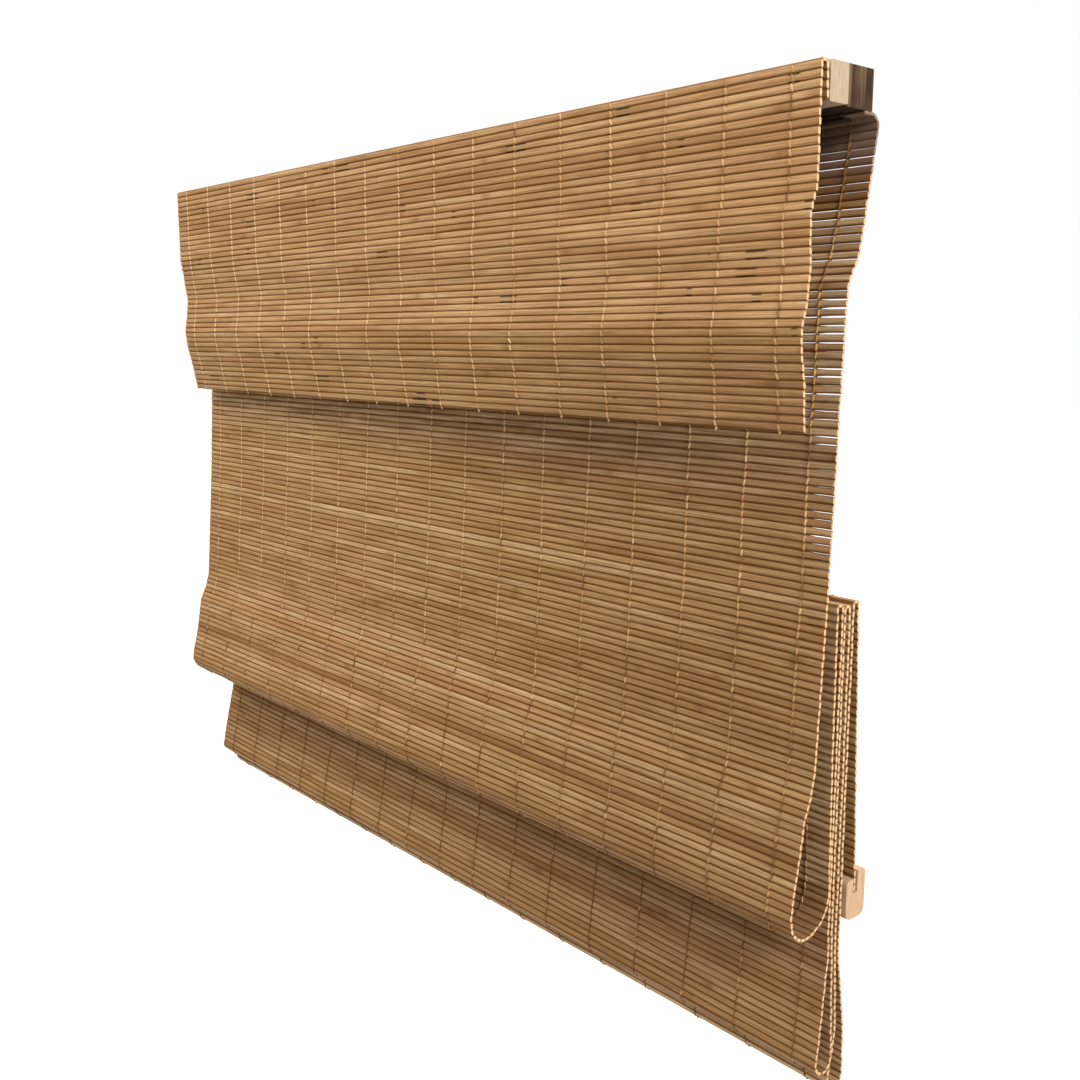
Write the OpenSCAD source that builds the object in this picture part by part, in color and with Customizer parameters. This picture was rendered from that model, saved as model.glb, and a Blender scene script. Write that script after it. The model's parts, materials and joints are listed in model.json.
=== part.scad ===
// Woven bamboo fold-up window blind with a short valance, half raised.
// Frame: +X to the right seen from the room, +Y to the wall, +Z up, millimetres.
// The origin is midway between the two screw holes, on the top face of the head board.

/* [Mat] */
// Width of the woven mats, the head board and the bottom rail
blind_width = 880; // [700:10:1200]
// Length of one slat link along the mat
slat_pitch = 5.4; // [5:0.1:5.8]
// Thickness of a slat
slat_thickness = 2.2; // [1.6:0.1:2.4]
// Thickness of the mat where the threads tie two slats together
tie_thickness = 0.8; // [0.6:0.1:1]
// Rows of light gaps between the slats below the head channel
gap_rows = 30; // [0:1:40]
// Light gaps side by side in one row
gap_bays = 2; // [1:1:4]
// Height of one light gap
gap_height = 0.6; // [0.4:0.1:0.8]

/* [Head board] */
// Depth of the pale head board from front to back
board_depth = 18.5; // [16:0.5:24]
// Height of the head board
board_height = 24; // [22:0.5:28]
// Distance of each fixing hole from the board's end
fixing_inset = 100; // [60:5:150]
// Radius of a fixing hole
fixing_r = 2.5; // [2:0.1:3]

/* [Head channel] */
// Depth of the steel channel behind the board
channel_depth = 25.5; // [25:0.5:30]
// Height of the channel
channel_height = 25; // [25:0.5:28]
// Thickness of the channel's sheet
sheet = 1; // [0.8:0.1:1.2]
// Width of each lip turned in along the open top
lip = 4; // [3:0.5:6]

/* [Lift] */
// Radius of the lift shaft
shaft_r = 2.5; // [2:0.1:3]
// Radius of a cord spool where the cord winds
spool_r = 6; // [5:0.25:7]
// Radius of a spool's flanges
flange_r = 9; // [8:0.25:9.5]
// Running clearance around the shaft
running_gap = 0.05; // [0.02:0.01:0.1]

/* [Bottom rail] */
// Depth of the bottom rail from front to back
rail_depth = 21.8; // [20:0.2:26]
// Height of the bottom rail
rail_height = 35; // [32:1:44]
// Depth of the slot that takes the mat's end
slot_depth = 15.5; // [13:0.5:18]

/* [Hidden] */
$fn = 32;
eps = 0.01;
seat = 0.1;
trim = 0.05;
mat_half = slat_thickness / 2;
board_round = 1.2;
channel_front = board_depth / 2;
channel_back = channel_front + channel_depth;
cap = 2;
plug_length = 8;
channel_length = blind_width - 2 * cap;
fixing_spacing = blind_width - 2 * fixing_inset;
spool_offset = blind_width / 3;
shaft_y = channel_front + channel_depth / 2;
shaft_z = -channel_height / 2;
floor_z = sheet - channel_height;
bay_depth = channel_depth - 2 * sheet - 0.3;
stations = [-spool_offset, 0, spool_offset];
spool_width = 28;
ear = 2;
cradle_length = spool_width + 2 * ear + 1.2;
motor_x = blind_width / 7;
motor_length = 76;
shaft_end = 12;
shaft_length = 2 * spool_offset + cradle_length + 2 * shaft_end;
spout_r = 3.4;
screw_r = 2;
staple_pitch = blind_width / 11.5;
board_screw_x = [for (f = [-5.5, -2.5, 2.5, 5.5]) f * staple_pitch];
strip_width = 10;
strip_sheet = 1.5;
strip_inset = 15;
strip_length = blind_width - 2 * strip_inset;
clamp_inset = 30;
clamp_screw_x = [for (i = [-2.5:1:2.5]) i * (strip_length - 2 * clamp_inset) / 5];
clamp_r = 1.5;
ring_r = 5;
ring_wire = 1;
gap_margin = 22;
gap_tie = 8;

// Runs of slats: how many, the heading of the first and the heading of the last.
// A heading of 0 goes to the wall, 90 straight down and -90 straight up.
valance_runs = [
    [6, -97.4, -97.4], [3, -103, -103], [3, -95, -95], [3, -78.3, -78.3], [4, -83.5, -83.5],
    [3, -97.5, -97.5], [3, -93, -93], [3, -84.6, -84.6], [13, -90, -90],
    [1, 0, 0], [4, 86, 86]
];
drop_runs = [
    [2, 0, 0], [2, 40, 85], [6, 100.3, 100.3], [8, 100.6, 100.6], [4, 117, 117], [1, 105, 105],
    [35, 92.4, 92.7], [23, 93.8, 93.8], [3, 104, 104], [3, 113, 113], [6, 99, 99], [5, 102, 102],
    [2, 97, 97], [5, 80, 12], [8, -5, -85], [37, -90.4, -90.4]
];
fold_runs = [
    [1, 0, 0], [46, 90, 90.5], [15, 99.5, 99.5], [5, 62, -78], [60, -90.1, -90.1],
    [1, 0, 0], [47, 90, 90], [10, 88.2, 88.2], [7, 103.7, 103.7], [5, 64, -73],
    [7, -90, -90], [10, -97.5, -97.5], [47, -90, -90],
    [1, 0, 0], [37, 87, 87], [2, 90, 90]
];

function headings(runs) =
    [for (r = runs) for (i = [0:r[0] - 1]) r[1] + (r[2] - r[1]) * (r[0] > 1 ? i / (r[0] - 1) : 0)];
function link(h) = slat_pitch * [cos(h), -sin(h)];
function walk(start, h) =
    [for (i = 0, p = start; i <= len(h); p = p + (i < len(h) ? link(h[i]) : [0, 0]), i = i + 1) p];
function normal(h) = [sin(h), cos(h)];
function bend(h, i) = i <= 0 || i >= len(h) ? 0 : abs(h[i] - h[i - 1]);
function inset(b) = max(0.12 * slat_pitch, mat_half * tan(min(b, 95) / 2) + 0.2);
function tie_normal(h, i) =
    i <= 0 ? normal(h[0]) : i >= len(h) ? normal(h[len(h) - 1]) : normal((h[i] + h[i - 1]) / 2);
function tie_point(p, h, i, side) = p[i] + side * tie_thickness / 2 * tie_normal(h, i);
function face_points(p, h, i, side) = let (n = side * mat_half * normal(h[i]), d = link(h[i]) / slat_pitch)
    [p[i] + n + d * inset(bend(h, i)), p[i + 1] + n - d * inset(bend(h, i + 1))];
function crest_point(p, h, i, side) = [(p[i] + p[i + 1]) / 2 + side * mat_half * normal(h[i])];
// One side of the mat from tie a to tie b, with its end ties drawn in by the trim.
// A slat is flat on the face side and has one crest along its back.
function mat_side(p, h, a, b, side, face) = concat(
    [tie_point(p, h, a, side) + trim * link(h[a]) / slat_pitch],
    [for (i = [a:b - 1]) each concat(
        i > a ? [tie_point(p, h, i, side)] : [],
        side == face ? face_points(p, h, i, side) : crest_point(p, h, i, side))],
    [tie_point(p, h, b, side) - trim * link(h[b - 1]) / slat_pitch]);
function mat_outline(p, h, a, b, face) =
    let (u = mat_side(p, h, a, b, 1, face), v = mat_side(p, h, a, b, -1, face))
    concat(u, [for (i = [len(v) - 1:-1:0]) v[i]]);
// A quarter round of a profile from the given angle, counter-clockwise.
function corner(y, z, r, from) = [for (t = [from:15:from + 90]) [y + r * cos(t), z + r * sin(t)]];
function count(runs, n) = n <= 0 ? 0 : runs[n - 1][0] + count(runs, n - 1);

valance_h = headings(valance_runs);
valance_top = -mat_half - seat;
valance_cap = count(valance_runs, 9);
valance_reach = walk([0, 0], valance_h)[valance_cap + 1];
valance_start = [-board_depth / 2 - mat_half - 2, valance_top] - valance_reach;
valance_path = walk(valance_start, valance_h);
staple_at = (valance_path[len(valance_h) - 2] + valance_path[len(valance_h) - 1]) / 2;
hem_z = -channel_height - mat_half - seat;
main_h = concat(headings(drop_runs), headings(fold_runs));
main_path = walk([channel_back - 1.45 * slat_pitch, hem_z], main_h);
drop_slats = count(drop_runs, len(drop_runs));
top_folds = [for (n = [0, 5, 13]) drop_slats + count(fold_runs, n)];
fold_end = main_path[len(main_h)];
clamp_y = main_path[0][0] + 0.75 * slat_pitch;
strip_z = hem_z - mat_half - seat - strip_sheet;
rail_slot = slat_thickness + 2.8;
slot_y = fold_end[0] - mat_half - 0.6;
slot_z = fold_end[1] - 0.6;
rail_front = slot_y - 7.6;
rail_back = rail_front + rail_depth;
rail_top = slot_z + slot_depth;
rail_bottom = rail_top - rail_height;
rail_round = 6;
lip_round = 3;
front_lip_drop = 5;
front_lip_z = rail_top - front_lip_drop;

module along_x(length) translate([-length / 2, 0, 0]) rotate([90, 0, 90]) linear_extrude(length) children();
module bar(length, y0, y1, z0, z1) translate([-length / 2, y0, z0]) cube([length, y1 - y0, z1 - z0]);
module rod_x(length, r, y, z) translate([-length / 2, y, z]) rotate([0, 90, 0]) cylinder(h = length, r = r);
module mat(p, h, a, b, face) along_x(blind_width) polygon(mat_outline(p, h, a, b, face));

// One countersunk screw along +Y with its head's face at the origin.
module flat_screw(length) rotate([-90, 0, 0]) rotate_extrude()
    polygon([[0, 0], [2 * screw_r, 0], [screw_r, screw_r], [screw_r, length - 2], [0, length]]);
module flat_screw_hole(length, gap) rotate([-90, 0, 0]) rotate_extrude()
    polygon([[0, -eps], [2 * screw_r + gap + eps, -eps], [screw_r + gap, screw_r],
        [screw_r + gap, length], [0, length]]);

module valance_board() color("BurlyWood") difference() {
    along_x(blind_width) polygon(concat(
        corner(board_round - board_depth / 2, board_round - board_height, board_round, 180),
        corner(board_depth / 2 - seat - board_round, board_round - board_height, board_round, 270),
        corner(board_depth / 2 - seat - board_round, -board_round, board_round, 0),
        corner(board_round - board_depth / 2, -board_round, board_round, 90)));
    for (x = [-0.5, 0.5]) translate([x * fixing_spacing, 0, -board_height - eps]) rotate_extrude()
        polygon([[0, 0], [2 * fixing_r, 0], [fixing_r, fixing_r],
            [fixing_r, board_height + 1], [0, board_height + 1]]);
    for (x = board_screw_x) translate([x, -board_depth / 2, shaft_z]) flat_screw_hole(board_depth + 1, 0.05);
}

module valance_mat() color("Peru") mat(valance_path, valance_h, 0, len(valance_h), 1);

module valance_staples() color("Silver") for (i = [-5:5]) translate([i * staple_pitch, 0, 0]) {
    staple_y = staple_at[0] - mat_half - seat - 0.6;
    translate([-5, staple_y, staple_at[1]]) cube([10, 0.6, 0.9]);
    for (x = [-5, 4.4]) translate([x, staple_y, staple_at[1]]) cube([0.6, 9, 0.9]);
}

module head_channel() color("DarkSlateGray") difference() {
    along_x(channel_length) polygon([
        [channel_front, 0], [channel_front + lip, 0], [channel_front + lip, -sheet],
        [channel_front + sheet, -sheet], [channel_front + sheet, floor_z], [channel_back - sheet, floor_z],
        [channel_back - sheet, -sheet], [channel_back - lip, -sheet], [channel_back - lip, 0],
        [channel_back, 0], [channel_back, -channel_height], [channel_front, -channel_height]]);
    for (x = stations) translate([x, shaft_y, -channel_height - 1])
        cylinder(h = sheet + 2, r = spout_r + 0.15);
    for (x = board_screw_x) translate([x, channel_front - 1, shaft_z]) rotate([-90, 0, 0])
        cylinder(h = sheet + 2, r = screw_r + 0.05);
    for (x = clamp_screw_x) translate([x, clamp_y, -channel_height - 1])
        cylinder(h = sheet + 2, r = clamp_r + 0.05);
}

// The right-hand cap: a plate over the channel's end and a hollow plug inside it.
module end_cap() translate([channel_length / 2, shaft_y, 0]) {
    plug_z = floor_z + seat;
    plug_height = -sheet - seat - plug_z;
    translate([seat, -channel_depth / 2, -channel_height]) cube([cap - seat, channel_depth, channel_height]);
    difference() {
        translate([-plug_length, -bay_depth / 2, plug_z])
            cube([plug_length + seat + eps, bay_depth, plug_height]);
        translate([-plug_length - 1, 2 - bay_depth / 2, plug_z + 2])
            cube([plug_length + 1, bay_depth - 4, plug_height - 4]);
    }
}
module end_cap_left() color("Sienna") mirror([1, 0, 0]) end_cap();
module end_cap_right() color("Sienna") end_cap();

module board_screws() color("Silver") for (x = board_screw_x)
    translate([x, -board_depth / 2, shaft_z]) flat_screw(board_depth + 5);

module clamp_strip() color("DarkSlateGray") difference() {
    bar(strip_length, clamp_y - strip_width / 2, clamp_y + strip_width / 2, strip_z, strip_z + strip_sheet);
    for (x = clamp_screw_x) translate([x, clamp_y, strip_z - 1])
        cylinder(h = strip_sheet + 2, r = clamp_r + 0.05);
}

module clamp_screws() color("Silver") for (x = clamp_screw_x)
    translate([x, clamp_y, strip_z]) rotate_extrude()
        polygon([[0, -1.8], [2.2, -1.8], [2.8, -1.2], [2.8, 0], [clamp_r, 0], [clamp_r, 6.5], [0, 8]]);

module front_drop() color("Peru") difference() {
    mat(main_path, main_h, 0, drop_slats, -1);
    bay = (blind_width - 2 * gap_margin - (gap_bays - 1) * gap_tie) / gap_bays;
    for (k = [6:5 + gap_rows], b = [0:gap_bays - 1])
        translate([gap_margin - blind_width / 2 + b * (bay + gap_tie), main_path[k][0], main_path[k][1]])
            rotate([-(main_h[k - 1] + main_h[k]) / 2, 0, 0])
                translate([0, -gap_height / 2, -4]) cube([bay, gap_height, 8]);
}

module fold_stack() color("Peru") mat(main_path, main_h, drop_slats, len(main_h), -1);

module bottom_rail() color("BurlyWood") along_x(blind_width) polygon(concat(
    corner(rail_front + rail_round, rail_bottom + rail_round, rail_round, 180),
    corner(rail_back - rail_round, rail_bottom + rail_round, rail_round, 270),
    corner(rail_back - lip_round, rail_top - lip_round, lip_round, 0),
    [[slot_y + rail_slot, rail_top], [slot_y + rail_slot, slot_z], [slot_y, slot_z], [slot_y, front_lip_z]],
    corner(rail_front + lip_round, front_lip_z - lip_round, lip_round, 90)));

module rail_pins() color("Silver") for (i = [-3:3])
    translate([i * blind_width / 7.2, rail_front + 0.4, slot_z + 4])
        rotate([-90, 0, 0]) cylinder(h = rail_depth - 3, r = 0.8);

module lift_rings() color("White") for (x = stations) for (k = top_folds)
    translate([x, main_path[k][0] + slat_pitch / 2, main_path[k][1] + mat_half + seat + ring_r + ring_wire])
        rotate([90, 0, 0]) rotate_extrude() translate([ring_r, 0]) circle(ring_wire, $fn = 8);

module lift_shaft() color("Silver") rod_x(shaft_length, shaft_r, shaft_y, shaft_z);

module cord_spool(x) translate([x - spool_width / 2, shaft_y, shaft_z]) rotate([0, 90, 0]) rotate_extrude()
    polygon([[shaft_r + 0.02, 0], [flange_r, 0], [flange_r, 1.2], [spool_r, 2.4],
        [spool_r, spool_width - 2.4], [flange_r, spool_width - 1.2], [flange_r, spool_width],
        [shaft_r + 0.02, spool_width]]);
module cord_spool_left() color("Ivory") cord_spool(stations[0]);
module cord_spool_middle() color("Ivory") cord_spool(stations[1]);
module cord_spool_right() color("Ivory") cord_spool(stations[2]);

module spool_cradle(x) translate([x, shaft_y, 0]) difference() {
    union() {
        translate([-cradle_length / 2, -bay_depth / 2, floor_z]) cube([cradle_length, bay_depth, 1.4]);
        for (s = [-1, 1]) translate([s * (cradle_length - ear) / 2 - ear / 2, 0, 0]) {
            translate([0, -6, floor_z]) cube([ear, 12, shaft_z - floor_z]);
            translate([0, 0, shaft_z]) rotate([0, 90, 0]) cylinder(h = ear, r = 6);
        }
        translate([0, 0, -channel_height - 2.5]) cylinder(h = 4, r = spout_r);
    }
    rod_x(cradle_length + 2, shaft_r + running_gap, 0, shaft_z);
    translate([0, 0, -channel_height - 4]) cylinder(h = 8, r = 1.5);
}
module spool_cradle_left() color("Gray") spool_cradle(stations[0]);
module spool_cradle_middle() color("Gray") spool_cradle(stations[1]);
module spool_cradle_right() color("Gray") spool_cradle(stations[2]);

module spring_motor() color("DimGray") translate([motor_x, 0, 0]) difference() {
    bar(motor_length, shaft_y - bay_depth / 2, shaft_y + bay_depth / 2, floor_z, -sheet - 2);
    rod_x(motor_length + 2, shaft_r + running_gap, shaft_y, shaft_z);
}

module shaft_collars() color("Silver") for (s = [-1, 1])
    translate([s * (spool_offset + cradle_length / 2 + 0.4 + 2.5), 0, 0]) difference() {
        rod_x(5, 5, shaft_y, shaft_z);
        rod_x(7, shaft_r + 0.02, shaft_y, shaft_z);
    }

valance_board();
valance_mat();
valance_staples();
head_channel();
end_cap_left();
end_cap_right();
board_screws();
clamp_strip();
clamp_screws();
front_drop();
fold_stack();
bottom_rail();
rail_pins();
lift_rings();
lift_shaft();
cord_spool_left();
cord_spool_middle();
cord_spool_right();
spool_cradle_left();
spool_cradle_middle();
spool_cradle_right();
spring_motor();
shaft_collars();
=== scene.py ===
import json
import math
import random

import bpy
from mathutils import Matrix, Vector


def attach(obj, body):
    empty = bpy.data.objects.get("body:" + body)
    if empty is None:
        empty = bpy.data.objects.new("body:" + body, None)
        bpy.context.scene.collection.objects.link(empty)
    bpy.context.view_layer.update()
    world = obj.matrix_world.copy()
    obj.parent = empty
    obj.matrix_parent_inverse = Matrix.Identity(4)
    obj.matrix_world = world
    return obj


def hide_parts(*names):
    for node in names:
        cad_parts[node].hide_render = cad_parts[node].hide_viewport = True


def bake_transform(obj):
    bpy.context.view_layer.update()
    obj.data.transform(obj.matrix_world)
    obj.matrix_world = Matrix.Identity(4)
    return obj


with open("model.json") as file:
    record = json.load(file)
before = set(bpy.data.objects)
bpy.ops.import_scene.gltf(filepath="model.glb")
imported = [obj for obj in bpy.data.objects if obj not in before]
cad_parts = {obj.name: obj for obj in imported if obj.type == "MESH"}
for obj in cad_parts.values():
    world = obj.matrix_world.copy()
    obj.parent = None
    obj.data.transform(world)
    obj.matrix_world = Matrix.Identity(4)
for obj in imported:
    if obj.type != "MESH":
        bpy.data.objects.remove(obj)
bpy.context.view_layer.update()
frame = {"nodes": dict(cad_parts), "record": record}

mm = 0.001
print("frame loaded:", len(frame["nodes"]), "nodes")


# small helpers for node trees and pieces

def addNode(tree, kind, sockets=None, **settings):
    made = tree.nodes.new(kind)
    for name, value in settings.items():
        setattr(made, name, value)
    for key, value in (sockets or {}).items():
        if isinstance(value, bpy.types.NodeSocket):
            tree.links.new(value, made.inputs[key])
        else:
            made.inputs[key].default_value = value
    return made


def newGroup(name, kind, inputs, outputs):
    tree = bpy.data.node_groups.new(name, kind)
    for label, socketType, value in inputs:
        socket = tree.interface.new_socket(label, in_out="INPUT", socket_type=socketType)
        if value is not None:
            socket.default_value = value
    for label, socketType in outputs:
        tree.interface.new_socket(label, in_out="OUTPUT", socket_type=socketType)
    return tree, tree.nodes.new("NodeGroupInput"), tree.nodes.new("NodeGroupOutput")


def math2(tree, operation, first, second=0.0, third=None, clamp=False):
    sockets = {0: first, 1: second}
    if third is not None:
        sockets[2] = third
    return addNode(tree, "ShaderNodeMath", sockets, operation=operation, use_clamp=clamp).outputs[0]


def times(tree, first, second):
    return math2(tree, "MULTIPLY", first, second)


def timesPlus(tree, first, second, third):
    return math2(tree, "MULTIPLY_ADD", first, second, third)


def over(tree, first, second):
    return math2(tree, "DIVIDE", first, second)


def minus(tree, first, second):
    return math2(tree, "SUBTRACT", first, second)


def unsigned(tree, value):
    return math2(tree, "ABSOLUTE", value)


def joinXyz(tree, x=0.0, y=0.0, z=0.0):
    return addNode(tree, "ShaderNodeCombineXYZ", {0: x, 1: y, 2: z}).outputs[0]


def splitXyz(tree, value):
    return addNode(tree, "ShaderNodeSeparateXYZ", {0: value}).outputs


def noiseAt(tree, place, scale=1.0, detail=2.0, roughness=0.5):
    return addNode(tree, "ShaderNodeTexNoise", {
        "Vector": place, "Scale": scale, "Detail": detail, "Roughness": roughness}).outputs[0]


def mixColor(tree, factor, first, second, blend="MIX"):
    return addNode(tree, "ShaderNodeMix", {0: factor, 6: first, 7: second},
                   data_type="RGBA", blend_type=blend, clamp_factor=True).outputs[2]


def smoothBand(tree, value, low, high, toLow=0.0, toHigh=1.0):
    return addNode(tree, "ShaderNodeMapRange", {0: value, 1: low, 2: high, 3: toLow, 4: toHigh},
                   interpolation_type="SMOOTHSTEP").outputs[0]


def srgb(red, green, blue):
    def linear(c):
        c /= 255
        return c / 12.92 if c <= 0.04045 else ((c + 0.055) / 1.055) ** 2.4
    return (linear(red), linear(green), linear(blue), 1.0)


def addObject(name, data):
    made = bpy.data.objects.new(name, data)
    bpy.context.scene.collection.objects.link(made)
    return made


def pointHolder(name, places, attributes):
    mesh = bpy.data.meshes.new(name)
    mesh.from_pydata(places, [], [])
    for label, values in attributes.items():
        mesh.attributes.new(label, "FLOAT", "POINT").data.foreach_set("value", values)
    return addObject(name, mesh)


def grow(name, holder, tree, values):
    modifier = holder.modifiers.new("shape", "NODES")
    modifier.node_group = tree
    for item in tree.interface.items_tree:
        if item.item_type == "SOCKET" and item.in_out == "INPUT" and item.name in values:
            modifier[item.identifier] = values[item.name]
    graph = bpy.context.evaluated_depsgraph_get()
    mesh = bpy.data.meshes.new_from_object(
        holder.evaluated_get(graph), preserve_all_data_layers=True, depsgraph=graph)
    holder.modifiers.remove(modifier)
    bpy.data.objects.remove(holder)
    mesh.name = name
    piece = addObject(name, mesh)
    triangles = sum(len(p.vertices) - 2 for p in mesh.polygons)
    print("piece", name, triangles, "triangles")
    return piece


# shader groups shared by the finishes

def makeGrainGroup():
    # long streaks, broad patches and short flecks, for anything cut along the fibre
    tree, start, end = newGroup(
        "fibreGrain", "ShaderNodeTree",
        [("Vector", "NodeSocketVector", None), ("Along", "NodeSocketFloat", 14.0),
         ("Across", "NodeSocketFloat", 900.0), ("Depth", "NodeSocketFloat", 900.0),
         ("Patch", "NodeSocketFloat", 5.0), ("Seed", "NodeSocketFloat", 0.0)],
        [("Streak", "NodeSocketFloat"), ("Patch", "NodeSocketFloat"), ("Fleck", "NodeSocketFloat")])
    given = start.outputs
    x, y, z = splitXyz(tree, given["Vector"])
    shift = times(tree, given["Seed"], 17.3)
    along = timesPlus(tree, x, given["Along"], shift)
    across = timesPlus(tree, y, given["Across"], shift)
    fineAt = joinXyz(tree, along, across, times(tree, z, given["Depth"]))
    broadAt = joinXyz(tree, timesPlus(tree, x, given["Patch"], shift), shift)
    fleckAt = joinXyz(tree, times(tree, along, 2.6), across, 3.1)
    fleck = noiseAt(tree, fleckAt, scale=1.7, detail=1.0)
    tree.links.new(noiseAt(tree, fineAt, detail=3.0, roughness=0.6), end.inputs["Streak"])
    tree.links.new(noiseAt(tree, broadAt), end.inputs["Patch"])
    tree.links.new(smoothBand(tree, fleck, 0.62, 0.74), end.inputs["Fleck"])
    return tree


def makeMottleGroup():
    # faint handling marks and moulding texture on steel and plastic
    tree, start, end = newGroup(
        "handledSurface", "ShaderNodeTree",
        [("Vector", "NodeSocketVector", None), ("Cloud", "NodeSocketFloat", 30.0),
         ("Grit", "NodeSocketFloat", 2200.0)],
        [("Cloud", "NodeSocketFloat"), ("Grit", "NodeSocketFloat")])
    for label, detail in (("Cloud", 3.0), ("Grit", 1.0)):
        made = noiseAt(tree, start.outputs["Vector"], start.outputs[label], detail)
        tree.links.new(made, end.inputs[label])
    return tree


def makeHemShadeGroup():
    # painted shade on the slats and cut ends of the hem, under the head rail: the lower the tone, the darker
    tree, start, end = newGroup(
        "hemPaintedShade", "ShaderNodeTree",
        [("Color", "NodeSocketColor", None), ("Tone", "NodeSocketFloat", 0.5)],
        [("Color", "NodeSocketColor")])
    share = smoothBand(tree, start.outputs["Tone"], -0.6, 0.42, 0.92, 0.0)
    darkerColor = mixColor(tree, share, start.outputs["Color"], srgb(124, 102, 86))
    tree.links.new(darkerColor, end.inputs["Color"])
    return tree


grainGroup = makeGrainGroup()
mottleGroup = makeMottleGroup()
hemShadeGroup = makeHemShadeGroup()


def newFinish(name):
    finish = bpy.data.materials.new(name)
    finish.use_nodes = True
    tree = finish.node_tree
    return finish, tree, tree.nodes["Principled BSDF"]


def stored(tree, name, output="Fac"):
    return addNode(tree, "ShaderNodeAttribute", attribute_name=name).outputs[output]


def objectPlace(tree):
    return addNode(tree, "ShaderNodeTexCoord").outputs["Object"]


def useGroup(tree, group, values):
    return addNode(tree, "ShaderNodeGroup", values, node_tree=group).outputs


def dress(tree, shader, color, roughness, specular, height, bump):
    strength, distance = bump
    relief = addNode(tree, "ShaderNodeBump", {
        "Height": height, "Strength": strength, "Distance": distance})
    for value, label in ((color, "Base Color"), (roughness, "Roughness"), (relief.outputs[0], "Normal")):
        tree.links.new(value, shader.inputs[label])
    shader.inputs["Specular IOR Level"].default_value = specular


bambooLook = {
    "light": srgb(222, 187, 142), "mid": srgb(188, 148, 102), "dark": srgb(136, 94, 54),
    # edge colours the flecks and knot rings, and the painted shade along the slat edges
    "edge": srgb(108, 64, 10), "burn": srgb(40, 22, 10), "darkening": (0.6, 0.57, 0.56, 1.0),
    "grain": {"Along": 22.0, "Across": 5.5, "Depth": 1.5, "Patch": 9.0},
    "patchShare": 0.48, "streakShare": 0.62, "fleckShare": 0.3, "rimShadeShare": 0.78,
    "knotGap": 0.29, "knotStart": 3.77, "knotPick": 7.31, "knotShare": 0.4,
    "burnAlong": 17.0, "burnPick": 41.0, "burnShare": 0.65, "burnLess": -0.25,
    "darkeningBand": (-0.15, 0.43, 0.14, 0.75),  # from x, to x, and the share at each
    "roughness": (0.5, 0.7), "specular": 0.04, "bump": (0.45, 0.4 * mm),
}


def makeBamboo():
    look = bambooLook
    finish, tree, shader = newFinish("bambooSlat")
    place = stored(tree, "slatPlace", "Vector")
    seed, tone, down = stored(tree, "seed"), stored(tree, "tone"), stored(tree, "down")
    along, across = splitXyz(tree, place)[:2]
    grain = useGroup(tree, grainGroup, {"Vector": place, "Seed": seed, **look["grain"]})
    # slat tone, then patches along it, then fine fibre streaks and flecks
    base = mixColor(tree, smoothBand(tree, tone, 0.0, 0.55), look["dark"], look["mid"])
    base = mixColor(tree, smoothBand(tree, tone, 0.45, 1.0), base, look["light"])
    patchy = smoothBand(tree, grain["Patch"], 0.36, 0.72, 0.0, look["patchShare"])
    base = mixColor(tree, patchy, base, look["dark"])
    streaky = smoothBand(tree, grain["Streak"], 0.42, 0.62, 0.0, look["streakShare"])
    base = mixColor(tree, streaky, base, look["dark"])
    base = mixColor(tree, times(tree, grain["Fleck"], look["fleckShare"]), base, look["edge"])
    # cane joints: a dark ring every knotGap along some slats, started at random
    ringAt = timesPlus(tree, seed, look["knotStart"], over(tree, along, look["knotGap"]))
    ring = unsigned(tree, minus(tree, math2(tree, "FRACT", ringAt), 0.5))
    ragged = timesPlus(tree, grain["Streak"], 0.05, ring)
    ringMask = smoothBand(tree, ragged, 0.02, 0.06, look["knotShare"], 0.0)
    rarely = smoothBand(tree, math2(tree, "FRACT", times(tree, seed, look["knotPick"])), 0.5, 0.6)
    base = mixColor(tree, times(tree, ringMask, rarely), base, look["edge"])
    # darker edges: painted shade in the grooves between slats, stronger on the lower edge, which the light
    # from above misses
    rim = unsigned(tree, across)
    uneven = timesPlus(tree, grain["Patch"], 0.7, timesPlus(tree, down, 0.05, -0.12))
    lowerEdgeShade = timesPlus(tree, across, down, uneven)
    rimShadeMask = smoothBand(tree, math2(tree, "MAXIMUM", rim, lowerEdgeShade), 0.6, 1.0, 0.0, look["rimShadeShare"])
    base = mixColor(tree, rimShadeMask, base, look["edge"])
    # the odd burnt streak along an edge
    burnAt = joinXyz(tree, times(tree, along, look["burnAlong"]), times(tree, seed, look["burnPick"]), 7.0)
    burn = math2(tree, "MULTIPLY", smoothBand(tree, noiseAt(tree, burnAt), 0.67, 0.69),
                 smoothBand(tree, rim, 0.4, 0.75), clamp=True)
    burnt = timesPlus(tree, down, look["burnLess"], look["burnShare"])
    base = mixColor(tree, times(tree, burn, burnt), base, look["burn"])
    # some stretches of the mats are darker, more towards the right end
    darkeningShare = times(tree, stored(tree, "darkening"), smoothBand(tree, along, *look["darkeningBand"]))
    base = mixColor(tree, darkeningShare, base, look["darkening"], "MULTIPLY")
    # painted shade on the hem under the head rail, and the paler stretches, both carried by the tone
    base = useGroup(tree, hemShadeGroup, {"Color": base, "Tone": tone})["Color"]
    roughness = smoothBand(tree, grain["Streak"], 0.3, 0.7, *look["roughness"])
    dress(tree, shader, base, roughness, look["specular"], grain["Streak"], look["bump"])
    return finish


cutEndLook = {
    "light": srgb(236, 193, 147), "dark": srgb(192, 140, 94), "edgeDark": srgb(130, 86, 50),
    "edgeDarkShare": 0.86, "pores": 2600.0, "roughness": (0.6, 0.8), "specular": 0.15, "bump": (0.4, 0.3 * mm),
}


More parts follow.
